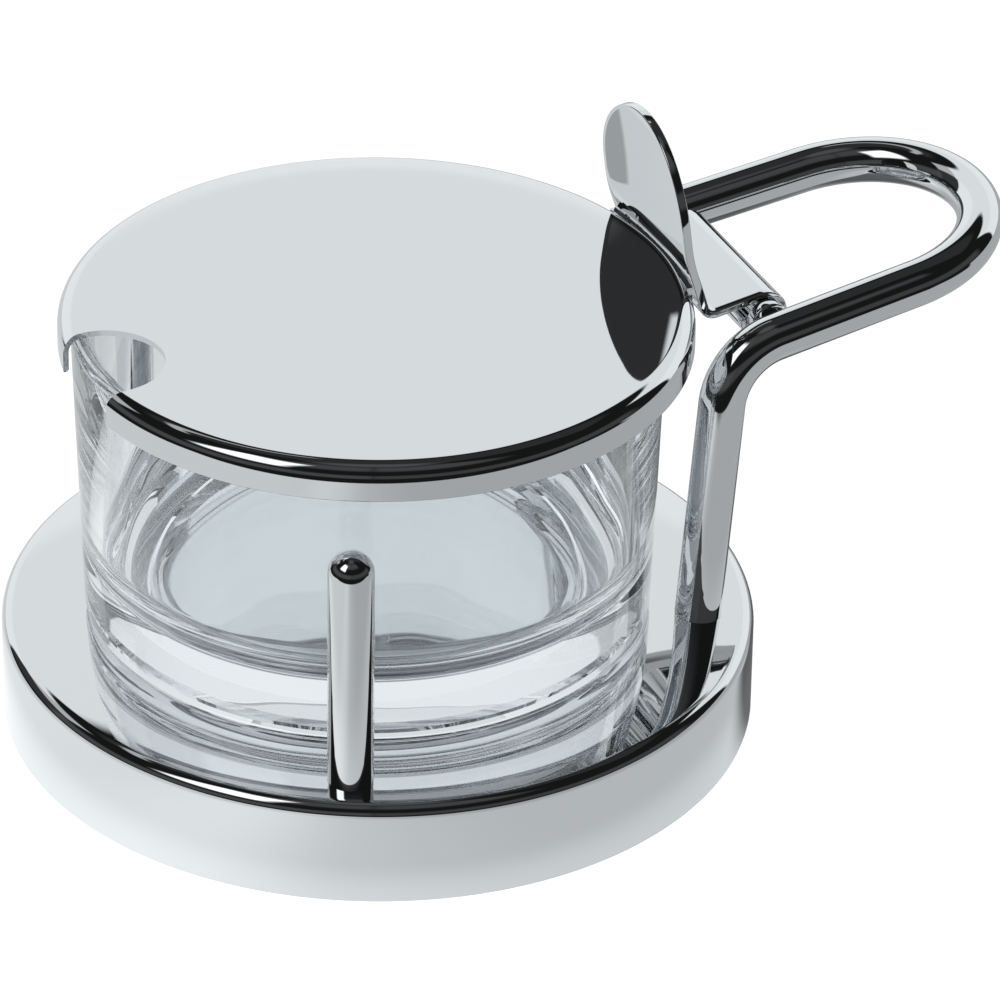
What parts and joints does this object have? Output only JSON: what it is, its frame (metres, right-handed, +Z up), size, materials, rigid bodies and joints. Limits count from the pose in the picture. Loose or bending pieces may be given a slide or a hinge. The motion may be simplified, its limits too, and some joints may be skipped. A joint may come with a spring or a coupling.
{
  "type": "parmesan dish",
  "caption": "Round glass cheese jar on a steel stand, under a hinged steel lid with a spoon notch, opened by a thumb plate above a bent rod handle.",
  "frame": {"origin": "centre of the stand's underside, on the table", "axes": "+Z up, +X towards the handle, the spoon notch is on the -X side, and the hinge pin lies along Y"},
  "size_m": [0.1389, 0.1, 0.08],
  "materials": {
    "polished_steel": "mirror polished stainless steel",
    "plain_steel": "plain stainless steel",
    "clear_glass": "clear pressed glass"
  },
  "bodies": {
    "stand": {"base_shell": "polished_steel", "base_plate": "plain_steel", "handle_rod": "polished_steel", "post_right": "polished_steel", "post_left": "polished_steel", "hinge_pin": "polished_steel", "pin_spacer_right": "polished_steel", "pin_spacer_left": "polished_steel", "leg_screw_right": "plain_steel", "leg_screw_left": "plain_steel", "post_screw_right": "plain_steel", "post_screw_left": "plain_steel"},
    "lid": {"lid_cover": "polished_steel", "thumb_leaf": "polished_steel"},
    "jar": {"glass_jar": "clear_glass"}
  },
  "joints": [
    {"name": "lid_hinge", "type": "hinge", "parent": "stand", "child": "lid", "pos_m": [0.0498, 0, 0.0532], "axis": [0, 1, 0], "range_deg": [0, 120]},
    {"name": "jar_turn", "type": "hinge", "parent": "stand", "child": "jar", "pos_m": [-0.0015, 0, 0.0158], "axis": [0, 0, 1], "continuous": true}
  ]
}
